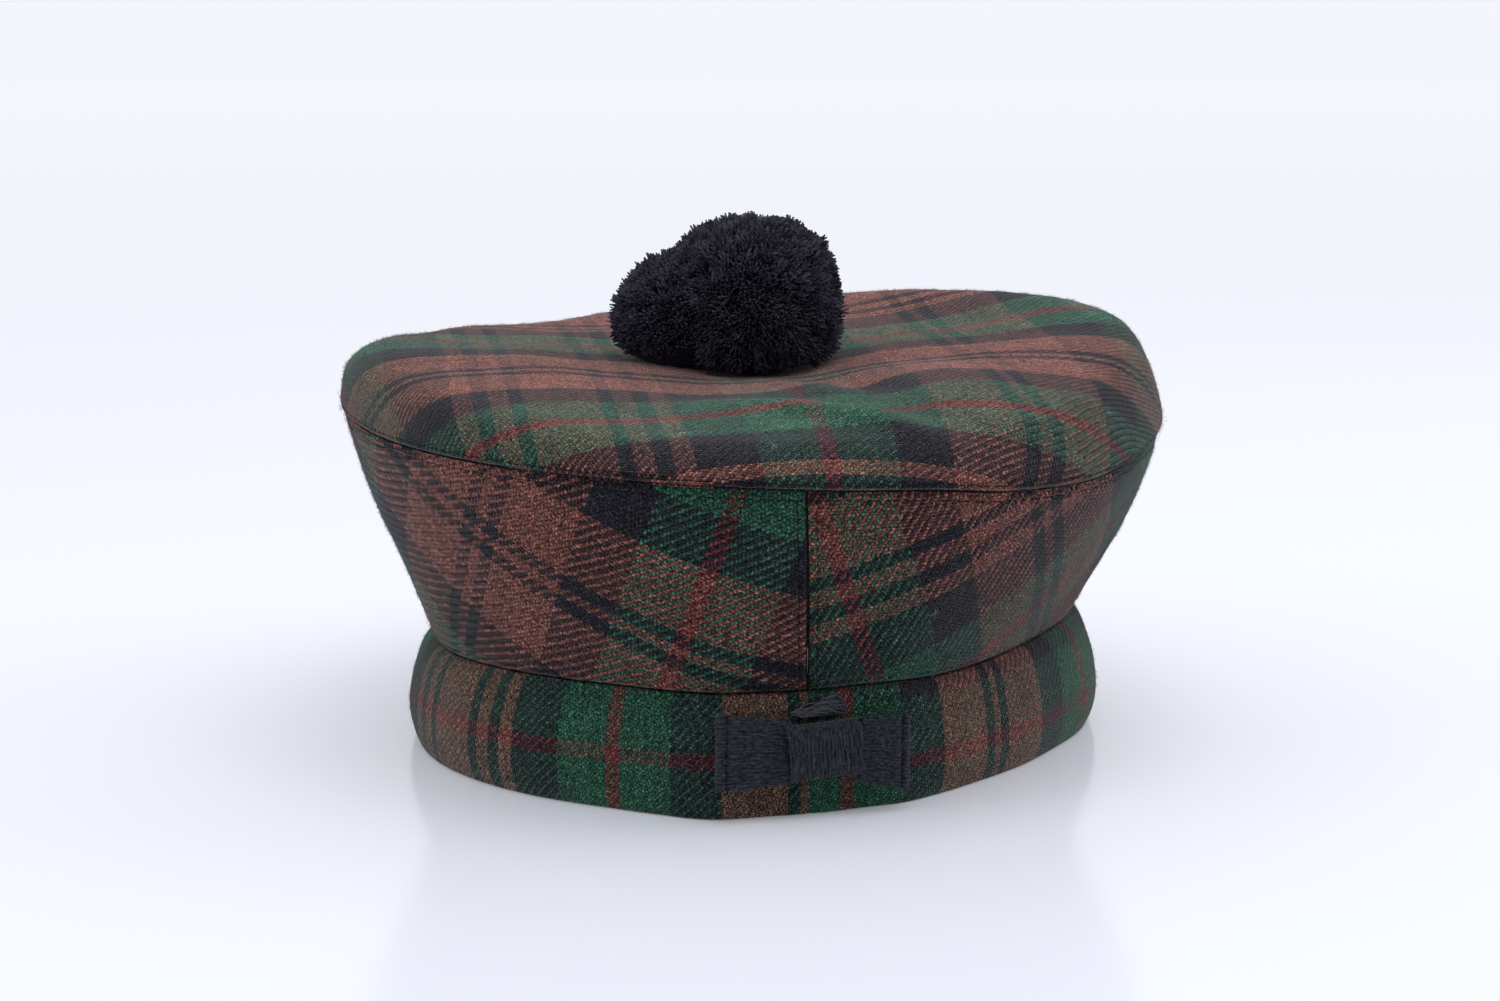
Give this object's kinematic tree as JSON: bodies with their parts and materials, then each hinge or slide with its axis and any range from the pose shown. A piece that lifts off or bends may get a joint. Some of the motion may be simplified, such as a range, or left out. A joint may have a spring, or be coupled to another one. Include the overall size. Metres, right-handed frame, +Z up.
{
  "type": "balmoral bonnet",
  "caption": "Balmoral bonnet of tartan cloth: wide soft puffed crown, slanted side panels, folded headband, wool pompom in the crown's middle and a flat ribbon bow at the back.",
  "frame": {"origin": "centre of the bounding box, on the plane that the headband rests on", "axes": "+Z up out of the crown, -Y towards the ribbon bow at the back, +X to the right as seen from the bow"},
  "size_m": [0.2406, 0.2406, 0.1517],
  "materials": {
    "headband": "wool twill tartan",
    "side_panels": "wool twill tartan",
    "crown": "wool twill tartan",
    "pompom": "cut black wool pile",
    "ribbon": "black ribbed ribbon"
  },
  "bodies": {
    "root": {"headband": "headband", "side_panel_left": "side_panels", "side_panel_right": "side_panels", "crown_top": "crown", "pompom": "pompom", "bow_loop_left": "ribbon", "bow_loop_right": "ribbon", "bow_knot": "ribbon", "bow_tail": "ribbon"}
  },
  "joints": []
}
